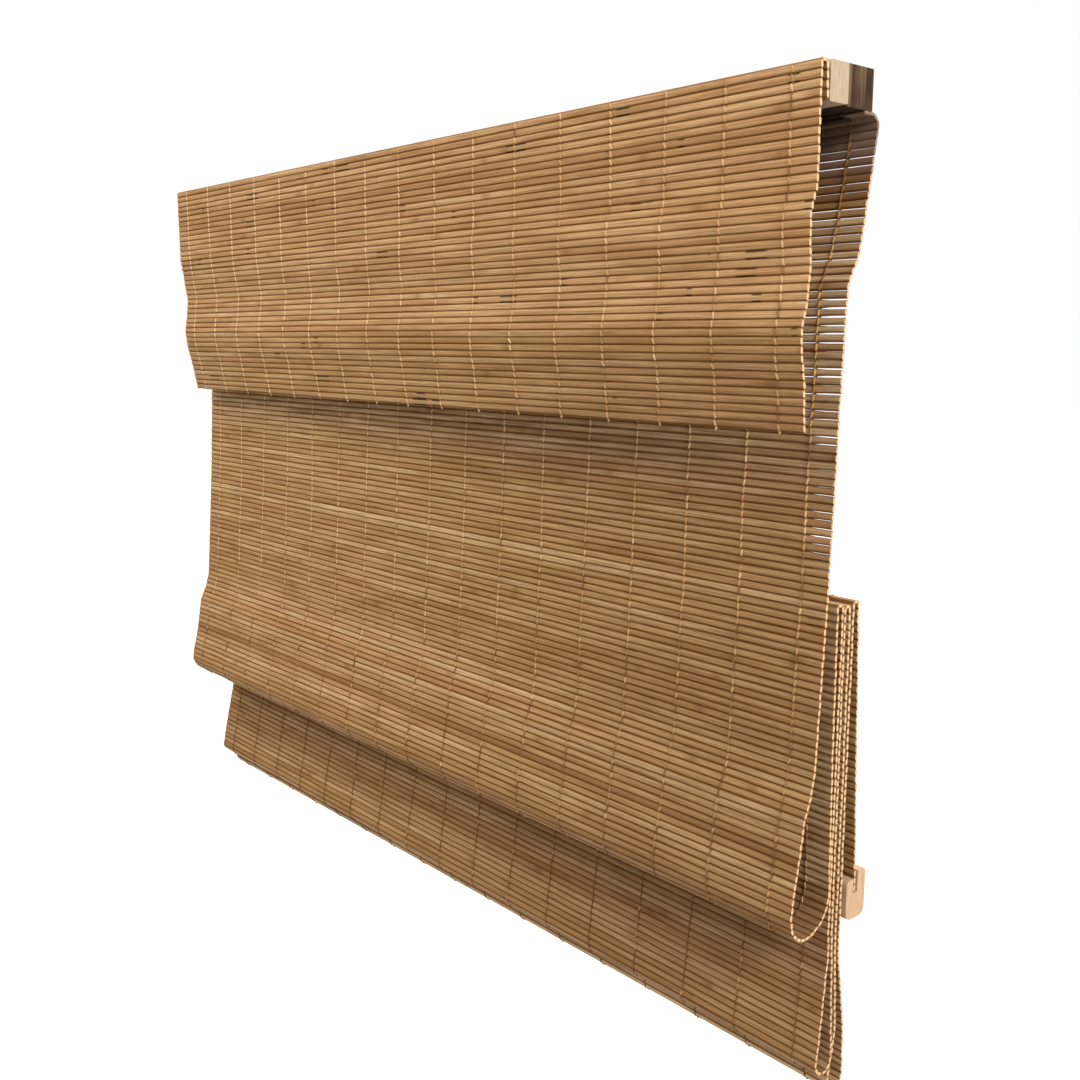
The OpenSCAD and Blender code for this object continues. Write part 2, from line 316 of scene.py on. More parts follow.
def makeCutEnd():
    look = cutEndLook
    finish, tree, shader = newFinish("bambooCutEnd")
    pores = noiseAt(tree, objectPlace(tree), look["pores"])
    color = mixColor(tree, smoothBand(tree, pores, 0.45, 0.7), look["light"], look["dark"])
    # each cut end is darker towards its edges across the slat, so a row of ends reads as beads
    across = unsigned(tree, splitXyz(tree, stored(tree, "slatPlace", "Vector"))[1])
    darkerColor = smoothBand(tree, across, 0.5, 0.92, 0.0, look["edgeDarkShare"])
    color = mixColor(tree, darkerColor, color, look["edgeDark"])
    # painted shade on the hem's cut ends
    color = useGroup(tree, hemShadeGroup, {"Color": color, "Tone": stored(tree, "tone")})["Color"]
    roughness = smoothBand(tree, pores, 0.3, 0.7, *look["roughness"])
    dress(tree, shader, color, roughness, look["specular"], pores, look["bump"])
    return finish


threadLook = {
    "dark": srgb(122, 84, 48), "mid": srgb(192, 148, 96), "pale": srgb(226, 188, 138),
    "ply": srgb(160, 116, 70), "sunkShade": srgb(96, 62, 32), "plyShare": 0.2, "sunkShadeShare": 0.85,
    "twistAlong": 16.0, "twistAside": 2.2,
    "roughness": (0.85, 0.7), "specular": 0.15, "bump": (0.5, 0.2 * mm),
}


def makeThread():
    look = threadLook
    finish, tree, shader = newFinish("matThread")
    tone = stored(tree, "tone")
    aside, along = splitXyz(tree, stored(tree, "threadPlace", "Vector"))[:2]
    # two plies twisted round each other
    twistAt = timesPlus(tree, along, look["twistAlong"], times(tree, aside, look["twistAside"]))
    twist = math2(tree, "SINE", twistAt)
    color = mixColor(tree, smoothBand(tree, tone, 0.0, 0.5), look["dark"], look["mid"])
    color = mixColor(tree, smoothBand(tree, tone, 0.45, 1.0), color, look["pale"])
    color = mixColor(tree, smoothBand(tree, twist, -1.0, 1.0, look["plyShare"], 0.0), color, look["ply"])
    # painted shade where it sinks between two slats
    sunkShade = smoothBand(tree, unsigned(tree, along), 0.58, 0.92, 0.0, look["sunkShadeShare"])
    color = mixColor(tree, sunkShade, color, look["sunkShade"])
    roughness = smoothBand(tree, twist, -1.0, 1.0, *look["roughness"])
    dress(tree, shader, color, roughness, look["specular"], twist, look["bump"])
    return finish


woodLook = {
    "board": (srgb(184, 163, 138), srgb(164, 141, 114)), "rail": (srgb(208, 174, 138), srgb(186, 145, 109)),
    "fleck": srgb(168, 128, 84), "streakShare": 0.6, "patchShare": 0.3, "fleckShare": 0.25,
    "grain": {"Along": 9.0, "Across": 620.0, "Depth": 90.0, "Patch": 3.0, "Seed": 0.4},
    "roughness": (0.5, 0.7), "specular": 0.2, "bump": (0.25, 0.4 * mm),
}


def makeWood(name, light, dark):
    look = woodLook
    finish, tree, shader = newFinish(name)
    grain = useGroup(tree, grainGroup, {"Vector": objectPlace(tree), **look["grain"]})
    streaky = smoothBand(tree, grain["Streak"], 0.36, 0.68, 0.0, look["streakShare"])
    color = mixColor(tree, streaky, light, dark)
    patchy = smoothBand(tree, grain["Patch"], 0.4, 0.7, 0.0, look["patchShare"])
    color = mixColor(tree, patchy, color, dark)
    color = mixColor(tree, times(tree, grain["Fleck"], look["fleckShare"]), color, look["fleck"])
    roughness = smoothBand(tree, grain["Streak"], 0.3, 0.7, *look["roughness"])
    dress(tree, shader, color, roughness, look["specular"], grain["Streak"], look["bump"])
    return finish


solidLooks = {
    "brown_steel": {
        "name": "brownSteel", "light": srgb(66, 50, 40), "dark": srgb(46, 34, 27),
        "cloud": 22.0, "grit": 1500.0, "roughness": (0.32, 0.5), "metallic": 0.2,
        "streak": {"scale": (7.0, 260.0, 260.0), "share": 0.35, "color": srgb(96, 78, 64)}},
    "brown_plastic": {
        "name": "brownPlastic", "light": srgb(74, 54, 40), "dark": srgb(54, 38, 27),
        "cloud": 60.0, "grit": 1800.0, "roughness": (0.4, 0.55), "specular": 0.05,
        # the end caps' pale vertical streaks are a painted reflection
        "streak": {"scale": (20.0, 150.0, 12.0), "share": 0.6, "color": srgb(132, 108, 82)}},
    "bright_steel": {
        "name": "brightSteel", "light": srgb(206, 206, 208), "dark": srgb(176, 177, 180),
        "cloud": 90.0, "grit": 2600.0, "roughness": (0.28, 0.45), "metallic": 1.0},
    "white_plastic": {
        "name": "whitePlastic", "light": srgb(236, 234, 226), "dark": srgb(222, 219, 208),
        "cloud": 70.0, "grit": 2000.0, "roughness": (0.35, 0.5)},
    "grey_plastic": {
        "name": "greyPlastic", "light": srgb(128, 128, 130), "dark": srgb(108, 108, 111),
        "cloud": 55.0, "grit": 2000.0, "roughness": (0.45, 0.62)},
}
solidBump = (0.12, 0.2 * mm)


def makeSolid(name, light, dark, cloud, grit, roughness, metallic=0.0, specular=0.4, streak=None):
    # painted or bare metal and moulded plastic: clouded tone, fine grit, optional streaks; the brown
    # plastic's pale streaks are a painted reflection
    finish, tree, shader = newFinish(name)
    place = objectPlace(tree)
    mottle = useGroup(tree, mottleGroup, {"Vector": place, "Cloud": cloud, "Grit": grit})
    color = mixColor(tree, smoothBand(tree, mottle["Cloud"], 0.35, 0.68), dark, light)
    if streak:
        streakPlace = addNode(tree, "ShaderNodeVectorMath", {0: place, 1: streak["scale"]}, operation="MULTIPLY")
        lines = noiseAt(tree, streakPlace.outputs[0], detail=3.0)
        streaky = smoothBand(tree, lines, 0.46, 0.66, 0.0, streak["share"])
        color = mixColor(tree, streaky, color, streak["color"])
    shader.inputs["Metallic"].default_value = metallic
    worn = smoothBand(tree, mottle["Cloud"], 0.3, 0.7, *roughness)
    dress(tree, shader, color, worn, specular, mottle["Grit"], solidBump)
    return finish


bambooFinish = makeBamboo()
cutEndFinish = makeCutEnd()
threadFinish = makeThread()
railFinish = makeWood("railWood", *woodLook["rail"])
slotFinishes = {slot: makeSolid(**look) for slot, look in solidLooks.items()}
slotFinishes["pale_wood"] = makeWood("paleWood", *woodLook["board"])
for part in frame["record"]["subparts"]:
    isRail = part["node"] == "bottom_rail"
    finish = railFinish if isRail else slotFinishes.get(part["material_slot"])
    if finish:
        node = frame["nodes"][part["node"]]
        if not node.material_slots:
            node.data.materials.append(finish)
        for materialSlot in node.material_slots:
            materialSlot.material = finish
print("finishes made")


# the mats: chains of slats, from the same runs as the solids

slat = {
    "length": 880 * mm, "pitch": 5.4 * mm, "width": 5.0 * mm, "thickness": 2.15 * mm, "corner": 1.0 * mm,
    "crown": 0.35, "pieces": 12, "lastThread": 0.478, "taperFrom": 0.958, "taperTo": 0.972,
    "waver": 0.8 * mm, "waves": 5.0, "tilt": 1.6, "tone": 0.55, "toneSpread": 0.09, "taper": 0.05,
    "evenWidth": 0.01, "shortest": 0.9988, "mostSeed": 40, "seed": 7,
}
# a run is how many slats, the first one's heading and the last one's, in degrees
# the other tables go by slat number
valance = {
    "runs": [[6, -97.4, -97.4], [3, -103, -103], [3, -95, -95], [3, -78.3, -78.3], [4, -83.5, -83.5],
             [3, -97.5, -97.5], [3, -93, -93], [3, -84.6, -84.6], [13, -90, -90], [1, 0, 0], [4, 86, 86]],
    "capAt": 41, "capEnd": (-12.35 * mm, -1.2 * mm), "down": -1.0,
    "wide": [(0, 1.12), (46, 1.12)], "sway": 0.2,
    "loose": 0.0, "looseFrom": 0, "looseTo": 0, "looseSway": 0.0, "splay": (0, 0, 0.0),
    "darkening": [(0, 1.0), (10, 0.6), (16, 0.0), (46, 0.0)],
    "paintedToneShift": [(0, 0.0), (46, 0.0)], "pale": [(0, 0.75), (46, 0.75)],
    "riseLeft": [(0, 0.0), (46, 0.0)], "riseRight": [(0, 0.0), (46, 0.0)],
    # how far the left end hangs behind the middle in mm, by height in metres
    "lean": [(-0.223, 9.0), (-0.191, 6.8), (-0.175, 6.5), (-0.159, 6.1), (-0.144, 5.0), (-0.122, 5.0),
             (-0.106, 4.75), (-0.09, 3.75), (-0.074, 0.0), (0.0, 0.0)],
}
mainMat = {
    "drop": [[2, 0, 0], [2, 40, 85], [6, 100.3, 100.3], [8, 100.6, 100.6], [4, 117, 117], [1, 105, 105],
             [35, 92.4, 92.7], [23, 93.8, 93.8], [3, 104, 104], [3, 113, 113], [6, 99, 99], [5, 102, 102],
             [2, 97, 97], [5, 80, 12], [8, -5, -85], [37, -90.4, -90.4]],
    "fold": [[1, 0, 0], [46, 90, 90.5], [15, 99.5, 99.5], [5, 62, -78], [60, -90.1, -90.1],
             [1, 0, 0], [47, 90, 90], [10, 88.2, 88.2], [7, 103.7, 103.7], [5, 64, -73],
             [7, -90, -90], [10, -97.5, -97.5], [47, -90, -90], [1, 0, 0], [37, 87, 87], [2, 90, 90]],
    "start": (26.92 * mm, -26.2 * mm), "down": 1.0,
    "panelEnd": 100, "loopEnd": 113, "riserEnd": 150, "stackCut": 300,
    # the mat is looser where it hangs free under the head rail, and its ends splay below that
    "wide": [(0, 1.12), (4, 1.12), (6, 1.03), (33, 1.03), (40, 1.1), (46, 1.12), (451, 1.12)], "sway": 0.6,
    "loose": 0.06, "looseFrom": 5, "looseTo": 36, "looseSway": 1.6, "splay": (24, 66, 0.1),
    "darkening": [(0, 0.0), (32, 0.0), (46, 1.0), (110, 1.0), (114, 0.0), (149, 0.0), (151, 1.0), (212, 1.0),
             (216, 0.2), (451, 0.2)],
    # what comes off the slats' tone: more than zero is painted shade on the hem under the head rail; below
    # zero the slats are paler, painted light on the stretch behind the valance, and paler stretches on the
    # riser and the stack
    "paintedToneShift": [(0, 1.25), (5, 0.95), (9, 0.55), (12, 0.1), (16, -0.45), (38, -0.5), (48, 0.0), (110, 0.0),
            (114, -0.45), (149, -0.45), (151, 0.0), (212, 0.0), (216, -0.35), (408, -0.35), (414, 0.0),
            (451, 0.0)],
    # how pale the threads show: painted shade under the head rail and lower down, painted light behind and
    # below the valance
    "pale": [(0, 0.0), (8, 0.05), (14, 0.25), (22, 0.5), (30, 0.78), (50, 0.78), (66, 0.55), (100, 0.22),
             (150, 0.2), (151, 0.05), (451, 0.05)],
    # how far the left end hangs behind the middle, in mm
    "lean": [(0, 0.0), (38, 0.0), (79, -2.3), (85, -3.8), (93, -3.8), (100, -5.0), (113, -2.0), (131, 0.0),
             (150, 0.0), (192, 0.0), (208, -4.5), (214, -5.5), (219, -4.5), (235, 0.0), (321, 0.0),
             (338, -3.0), (344, -4.0), (350, -3.0), (366, 0.0), (451, 0.0)],
    # how much higher than drawn each end hangs, in mm
    "riseLeft": [(0, 0.0), (38, 0.0), (106, 5.0), (150, 0.0), (214, 5.0), (277, 0.0), (344, 5.0),
                 (411, 0.0), (451, 0.0)],
    "riseRight": [(0, 0.0), (150, 0.0), (214, -2.5), (277, 0.0), (344, -2.0), (411, 0.0), (451, 0.0)],
}


def chain(start, runs):
    places, headings = [start], []
    for count, first, last in runs:
        for i in range(count):
            turn = math.radians(first + (last - first) * (i / (count - 1) if count > 1 else 0))
            y, z = places[-1]
            places.append((y + slat["pitch"] * math.cos(turn), z - slat["pitch"] * math.sin(turn)))
            headings.append(turn)
    return places, headings


def between(table, at):
    for (a, low), (b, high) in zip(table, table[1:]):
        if a <= at <= b:
            return low + (high - low) * (at - a) / (b - a)
    return table[0][1] if at < table[0][0] else table[-1][1]


def limited(value):
    return min(1.0, max(0.0, value))


def layOut(places, headings, leans, mat, dice):
    slats = []
    splayFrom, splayTo, splaySpread = mat["splay"]
    for i, heading in enumerate(headings):
        (y0, z0), (y1, z1) = places[i], places[i + 1]
        middle = (z0 + z1) / 2
        left, right = between(mat["riseLeft"], i) * mm, between(mat["riseRight"], i) * mm
        isLoose = mat["looseFrom"] <= i < mat["looseTo"]
        tilt = dice.gauss(0, math.radians(slat["tilt"]))
        # the tone carries the table's painted shade on the hem and its paler stretches
        tone = limited(dice.gauss(slat["tone"], slat["toneSpread"])) - between(mat["paintedToneShift"], i)
        taper = 0.0
        if splayFrom <= i < splayTo:
            taper = max(0.0, dice.gauss(slat["taper"], splaySpread))
        seed = dice.uniform(0, slat["mostSeed"])
        uneven = dice.uniform(-1, 1) * (mat["loose"] if isLoose else slat["evenWidth"])
        slats.append({
            "y": (y0 + y1) / 2, "z": middle + (left + right) / 2, "skew": (left - right) / 2,
            "turn": -heading, "tilt": tilt, "lean": leans(i, middle) * mm,
            "wide": between(mat["wide"], i) * (1 + uneven), "long": dice.uniform(slat["shortest"], 1.0),
            "taper": taper, "sway": mat["looseSway"] if isLoose else mat["sway"],
            "seed": seed, "tone": tone, "down": mat["down"],
            "darkening": between(mat["darkening"], i), "pale": between(mat["pale"], i)})
    return slats


dice = random.Random(slat["seed"])
reach = chain((0.0, 0.0), valance["runs"])[0][valance["capAt"] + 1]
valanceStart = (valance["capEnd"][0] - reach[0], valance["capEnd"][1] - reach[1])
valancePlaces, valanceHeadings = chain(valanceStart, valance["runs"])
valanceSlats = layOut(
    valancePlaces, valanceHeadings, lambda i, z: between(valance["lean"], z), valance, dice)
for hemSlat in valanceSlats[valance["capAt"]:]:
    hemSlat["lean"] = 0.0
mainPlaces, mainHeadings = chain(mainMat["start"], mainMat["drop"] + mainMat["fold"])
mainSlats = layOut(mainPlaces, mainHeadings, lambda i, z: between(mainMat["lean"], i), mainMat, dice)


# geometry trees: a slat or a thread arch is made once and placed on a holder's points

def named(tree, name, kind="FLOAT"):
    return addNode(tree, "GeometryNodeInputNamedAttribute", {"Name": name}, data_type=kind).outputs[0]


def hereXyz(tree):
    return splitXyz(tree, addNode(tree, "GeometryNodeInputPosition").outputs[0])


def rotation(tree, x=0.0, z=0.0):
    return addNode(tree, "FunctionNodeEulerToRotation", {0: joinXyz(tree, x, 0.0, z)}).outputs[0]


def moveBy(tree, geometry, offset):
    return addNode(tree, "GeometryNodeSetPosition", {"Geometry": geometry, "Offset": offset}).outputs[0]


def sweep(tree, path, section, caps):
    return addNode(tree, "GeometryNodeCurveToMesh", {
        "Curve": path, "Profile Curve": section, "Fill Caps": caps}).outputs[0]


def keepPlace(tree, geometry, name, place):
    return addNode(tree, "GeometryNodeStoreNamedAttribute", {
        "Geometry": geometry, "Name": name, "Value": place},
        data_type="FLOAT_VECTOR", domain="POINT").outputs[0]


def slatLine(tree, given):
    length = given["Slat Length"]
    line = addNode(tree, "GeometryNodeCurvePrimitiveLine", {
        "Start": joinXyz(tree, times(tree, length, -0.5)), "End": joinXyz(tree, times(tree, length, 0.5))})
    steps = addNode(tree, "GeometryNodeResampleCurve", {
        "Curve": line.outputs[0], "Count": math2(tree, "ADD", given["Pieces"], 1.0)})
    # two steps at each end move out to the last thread, where the slat starts to taper
    x = hereXyz(tree)[0]
    fromMiddle = unsigned(tree, over(tree, x, length))
    stretch = 0.0
    for step, beyond in ((1.0, 0.009), (2.0, 0.0)):
        was = minus(tree, 0.5, over(tree, step, given["Pieces"]))
        wanted = math2(tree, "ADD", given["Last Thread"], beyond)
        isHere = math2(tree, "COMPARE", fromMiddle, was, 0.01)
        stretch = timesPlus(tree, isHere, minus(tree, over(tree, wanted, was), 1.0), stretch)
    return moveBy(tree, steps.outputs[0], joinXyz(tree, times(tree, x, stretch)))


def slatSection(tree, given):
    outline = addNode(tree, "GeometryNodeCurvePrimitiveQuadrilateral", {
        "Width": given["Slat Width"], "Height": given["Slat Thickness"]})
    rounded = addNode(tree, "GeometryNodeFilletCurve", {
        "Curve": outline.outputs[0], "Count": 2, "Radius": given["Corner Radius"]}, mode="POLY")
    evened = addNode(tree, "GeometryNodeResampleCurve", {"Curve": rounded.outputs[0], "Count": 16})
    # crowned: the face falls away towards both edges
    x, y = hereXyz(tree)[:2]
    aside = over(tree, times(tree, x, 2.0), given["Slat Width"])
    fall = times(tree, times(tree, aside, aside), given["Crown"])
    return moveBy(tree, evened.outputs[0], joinXyz(tree, y=times(tree, times(tree, y, fall), -1.0)))


def slatBody(tree, given):
    body = sweep(tree, slatLine(tree, given), slatSection(tree, given), True)
    # keep the place on the slat: metres along it, -1 to 1 across it and through it
    x, y, z = hereXyz(tree)
    across = over(tree, times(tree, y, 2.0), given["Slat Width"])
    through = over(tree, times(tree, z, 2.0), given["Slat Thickness"])
    return keepPlace(tree, body, "slatPlace", joinXyz(tree, x, across, through))


def slatOffset(tree, given):
    turn = named(tree, "turn")
    x = hereXyz(tree)[0]
    share = over(tree, x, times(tree, given["Slat Length"], -0.5))  # 1 at the left end, -1 at the right
    # each slat wavers a little along its length
    noise = noiseAt(tree, joinXyz(
        tree, times(tree, x, slat["waves"]), times(tree, named(tree, "seed"), 9.0)), detail=1.0)
    waver = times(tree, times(tree, minus(tree, noise, 0.5), named(tree, "sway")), given["Waver"])
    # past the outermost thread on the right it tapers and lets some light through
    across = splitXyz(tree, named(tree, "slatPlace", "FLOAT_VECTOR"))[1]
    outer = smoothBand(tree, times(tree, share, -1.0), given["Taper From"], given["Taper To"])
    narrow = times(tree, times(tree, across, outer), named(tree, "taper"))
    sway = timesPlus(tree, narrow, times(tree, given["Slat Width"], -0.5), waver)
    # and it leans and hangs askew with its mat
    offsetY = timesPlus(tree, named(tree, "lean"), share, times(tree, sway, math2(tree, "COSINE", turn)))
    offsetZ = timesPlus(tree, named(tree, "skew"), share, times(tree, sway, math2(tree, "SINE", turn)))
    return joinXyz(tree, 0.0, offsetY, offsetZ)


def makeSlatTree():
    tree, start, end = newGroup(
        "slatMat", "GeometryNodeTree",
        [("Geometry", "NodeSocketGeometry", None), ("Slat Length", "NodeSocketFloat", 0.9),
         ("Slat Width", "NodeSocketFloat", 0.005), ("Slat Thickness", "NodeSocketFloat", 0.002),
         ("Corner Radius", "NodeSocketFloat", 0.0008), ("Crown", "NodeSocketFloat", 0.3),
         ("Pieces", "NodeSocketInt", 10), ("Last Thread", "NodeSocketFloat", 0.475),
         ("Taper From", "NodeSocketFloat", 0.95), ("Taper To", "NodeSocketFloat", 0.97),
         ("Waver", "NodeSocketFloat", 0.0008), ("Face", "NodeSocketMaterial", None),
         ("Cut End", "NodeSocketMaterial", None)],
        [("Geometry", "NodeSocketGeometry")])
    given = start.outputs
    rows = addNode(tree, "GeometryNodeInstanceOnPoints", {
        "Points": given["Geometry"], "Instance": slatBody(tree, given),
        "Rotation": rotation(tree, math2(tree, "ADD", named(tree, "turn"), named(tree, "tilt"))),
        "Scale": joinXyz(tree, named(tree, "long"), named(tree, "wide"), 1.0)})
    real = addNode(tree, "GeometryNodeRealizeInstances", {0: rows.outputs[0]})
    moved = moveBy(tree, real.outputs[0], slatOffset(tree, given))
    facing = splitXyz(tree, addNode(tree, "GeometryNodeInputNormal").outputs[0])[0]
    isEnd = addNode(tree, "FunctionNodeCompare", {0: unsigned(tree, facing), 1: 0.8},
                    data_type="FLOAT", operation="GREATER_THAN").outputs[0]
    isSide = addNode(tree, "FunctionNodeBooleanMath", {0: isEnd}, operation="NOT").outputs[0]
    smooth = addNode(tree, "GeometryNodeSetShadeSmooth", {"Geometry": moved, "Shade Smooth": isSide})
    faced = addNode(tree, "GeometryNodeSetMaterial", {
        "Geometry": smooth.outputs[0], "Material": given["Face"]})
    ended = addNode(tree, "GeometryNodeSetMaterial", {
        "Geometry": faced.outputs[0], "Selection": isEnd, "Material": given["Cut End"]})
    tree.links.new(ended.outputs[0], end.inputs[0])
    return tree


slatTree = makeSlatTree()
slatAttributes = (
    "turn", "tilt", "tone", "seed", "wide", "long", "lean", "skew", "sway", "down", "darkening", "taper")


def makeSlats(name, slats):
    holder = pointHolder(name, [(0.0, s["y"], s["z"]) for s in slats], {
        key: [s[key] for s in slats] for key in slatAttributes})
    piece = grow(name, holder, slatTree, {
        "Slat Length": slat["length"], "Slat Width": slat["width"], "Slat Thickness": slat["thickness"],
        "Corner Radius": slat["corner"], "Crown": slat["crown"], "Pieces": slat["pieces"],
        "Last Thread": slat["lastThread"], "Taper From": slat["taperFrom"], "Taper To": slat["taperTo"],
        "Waver": slat["waver"], "Face": bambooFinish, "Cut End": cutEndFinish})
    return piece


# the warp threads: one small arch over each side of each slat, in 17 rows

thread = {
    "rows": 17, "first": 420 * mm, "gap": 52.2 * mm, "radius": 0.85 * mm, "slack": 0.72 * mm,
    "rise": 1.2 * mm, "flat": 0.36, "dip": 0.55, "slant": 11.0, "slantSpread": 6.0,
    "drift": 0.2 * mm, "mostDrift": 1.5 * mm, "steady": 0.93, "toneSpread": 0.2, "fade": 0.45, "seed": 23,
}
tail = {
    "length": 3.2 * mm, "rise": 0.5 * mm, "aside": 0.4 * mm, "hang": 0.25, "slantSpread": 14.0,
    "tone": 0.7, "toneSpread": 0.2,
}


def threadArch(tree, given):
    def corner(share, rise):
        return joinXyz(tree, 0.0, times(tree, given["Pitch"], share), rise)

    path = addNode(tree, "GeometryNodeCurvePrimitiveQuadrilateral", {
        "Point 1": corner(-0.5, 0.0), "Point 2": corner(-thread["flat"], given["Rise"]),
        "Point 3": corner(thread["flat"], given["Rise"]), "Point 4": corner(0.5, 0.0)}, mode="POINTS")
    openPath = addNode(tree, "GeometryNodeSetSplineCyclic", {"Geometry": path.outputs[0], "Cyclic": False})
    # the thread thins at its first and last points, where it dips between two slats
    order = addNode(tree, "GeometryNodeInputIndex").outputs[0]
    inner = math2(tree, "COMPARE", order, 1.5, 0.6)
    thinned = addNode(tree, "GeometryNodeSetCurveRadius", {
        "Curve": openPath.outputs[0], "Radius": timesPlus(tree, inner, 1.0 - thread["dip"], thread["dip"])})
    ring = addNode(tree, "GeometryNodeCurvePrimitiveCircle", {
        "Resolution": 4, "Radius": given["Thread Radius"]})
    tube = sweep(tree, thinned.outputs[0], ring.outputs[0], False)
    # keep the place on the thread: radii aside, -1 to 1 along the arch, and its height
    x, y, z = hereXyz(tree)
    aside = over(tree, x, given["Thread Radius"])
    along = over(tree, times(tree, y, 2.0), given["Pitch"])
    return keepPlace(tree, tube, "threadPlace", joinXyz(tree, aside, along, z))


def makeThreadTree():
    tree, start, end = newGroup(
        "warpThread", "GeometryNodeTree",
        [("Geometry", "NodeSocketGeometry", None), ("Pitch", "NodeSocketFloat", 0.0054),
         ("Rise", "NodeSocketFloat", 0.0014), ("Thread Radius", "NodeSocketFloat", 0.0006),
         ("Thread", "NodeSocketMaterial", None)],
        [("Geometry", "NodeSocketGeometry")])
    given = start.outputs
    slanted = addNode(tree, "FunctionNodeRotateRotation", {
        0: rotation(tree, x=named(tree, "turn")), 1: rotation(tree, z=named(tree, "slant"))},
        rotation_space="LOCAL").outputs[0]
    rows = addNode(tree, "GeometryNodeInstanceOnPoints", {
        "Points": given["Geometry"], "Instance": threadArch(tree, given), "Rotation": slanted})
    real = addNode(tree, "GeometryNodeRealizeInstances", {0: rows.outputs[0]})
    smooth = addNode(tree, "GeometryNodeSetShadeSmooth", {
        "Geometry": real.outputs[0], "Shade Smooth": True})
    made = addNode(tree, "GeometryNodeSetMaterial", {
        "Geometry": smooth.outputs[0], "Material": given["Thread"]})
    tree.links.new(made.outputs[0], end.inputs[0])
    return tree


threadTree = makeThreadTree()
rowDice = random.Random(thread["seed"])


def threadDrift(count):
    rows = []
    for row in range(thread["rows"]):
        at, drift = 0.0, []
        for i in range(count):
            at = thread["steady"] * at + rowDice.gauss(0, thread["drift"])
            at = max(-thread["mostDrift"], min(thread["mostDrift"], at))
            drift.append(at)
        rows.append(drift)
    return rows


def threadX(row, drift):
    return thread["first"] - row * thread["gap"] + drift


def threadPoint(place, turn, side, slant, slantSpread, tone, toneSpread, less=0.0):
    leaning = math.radians(rowDice.gauss(slant, slantSpread))
    shade = limited(rowDice.gauss(tone, toneSpread) + less)
    return place, turn + (0.0 if side > 0 else math.pi), leaning, shade


def growThreads(name, points, pitch, rise, radius):
    places, turns, slants, tones = map(list, zip(*points))
    holder = pointHolder(name, places, {"turn": turns, "slant": slants, "tone": tones})
    piece = grow(name, holder, threadTree, {
        "Pitch": pitch, "Rise": rise, "Thread Radius": radius, "Thread": threadFinish})
    return piece


def makeThreads(name, slats, drift, radius, bare=None):
    points = []
    for row in range(thread["rows"]):
        for i, s in enumerate(slats):
            x = threadX(row, drift[row][i])
            share = -2 * x / slat["length"]
            place = (x, s["y"] + s["lean"] * share, s["z"] + s["skew"] * share)
            # pale carries the threads' painted light and shade
            pale = s["pale"] * (1 + thread["fade"] * share)  # paler to the left
            # no thread lies on top of the bare slat
            for side in ((-1,) if i == bare else (1, -1)):
                # threads on the hem take its painted shade through the slat's tone
                points.append(threadPoint(
                    place, s["turn"], side, side * thread["slant"], thread["slantSpread"],
                    pale, thread["toneSpread"], min(0.0, s["tone"])))
    return growThreads(name, points, slat["pitch"], thread["rise"], radius)


def makeTails(name):
    # the thread ends that hang under the valance's lower edge, on all rows but the leftmost
    first = valanceSlats[0]
    lowY, lowZ = valancePlaces[0]
    points = []
    for row in range(thread["rows"] - 1):
        x = threadX(row, valanceDrift[row][0])
        y = lowY - first["lean"] * 2 * x / slat["length"]
        for side in (1, -1):
            points.append(threadPoint(
                (x + side * tail["aside"], y, lowZ - tail["hang"] * tail["length"]), first["turn"], side,
                0.0, tail["slantSpread"], tail["tone"], tail["toneSpread"]))
    return growThreads(name, points, tail["length"], tail["rise"], thread["radius"])


valanceDrift = threadDrift(len(valanceSlats))
mainDrift = threadDrift(len(mainSlats))
print("mats laid out:", len(valanceSlats), "and", len(mainSlats), "slats")

valancePieces = (
    makeSlats("valanceSlats", valanceSlats),
    makeThreads("valanceThreads", valanceSlats, valanceDrift, thread["radius"], valance["capAt"]),
    makeTails("valanceTails"))
for piece in valancePieces:
    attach(piece, "head")
    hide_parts("valance_mat")


def makeMatPart(label, low, high, radius):
    part, drift = mainSlats[low:high], [row[low:high] for row in mainDrift]
    return makeSlats(label + "Slats", part), makeThreads(label + "Threads", part, drift, radius)


# the front drop stretches between head and stack: for each part its slats, the heights where it
# would move wholly with the head and wholly with the stack, and its thread's radius
panelEnd, loopEnd, riserEnd = mainMat["panelEnd"], mainMat["loopEnd"], mainMat["riserEnd"]
dropParts = {
    "frontPanel": (0, panelEnd, -0.0262, -1.066, thread["radius"]),
    "frontLoop": (panelEnd, loopEnd, -1.541, 0.459, thread["slack"]),
    "riser": (loopEnd, riserEnd, -0.735, -0.337, thread["slack"]),
}
for label, (low, high, startZ, endZ, radius) in dropParts.items():
    for piece in makeMatPart(label, low, high, radius):
        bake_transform(piece)
        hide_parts("front_drop")

stackParts = {
    "stackFront": (riserEnd, mainMat["stackCut"]),
    "stackBack": (mainMat["stackCut"], len(mainSlats)),
}
for label, (low, high) in stackParts.items():
    for piece in makeMatPart(label, low, high, thread["slack"]):
        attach(piece, "stack")
        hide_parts("fold_stack")
print("mats made")


# floor, light and camera

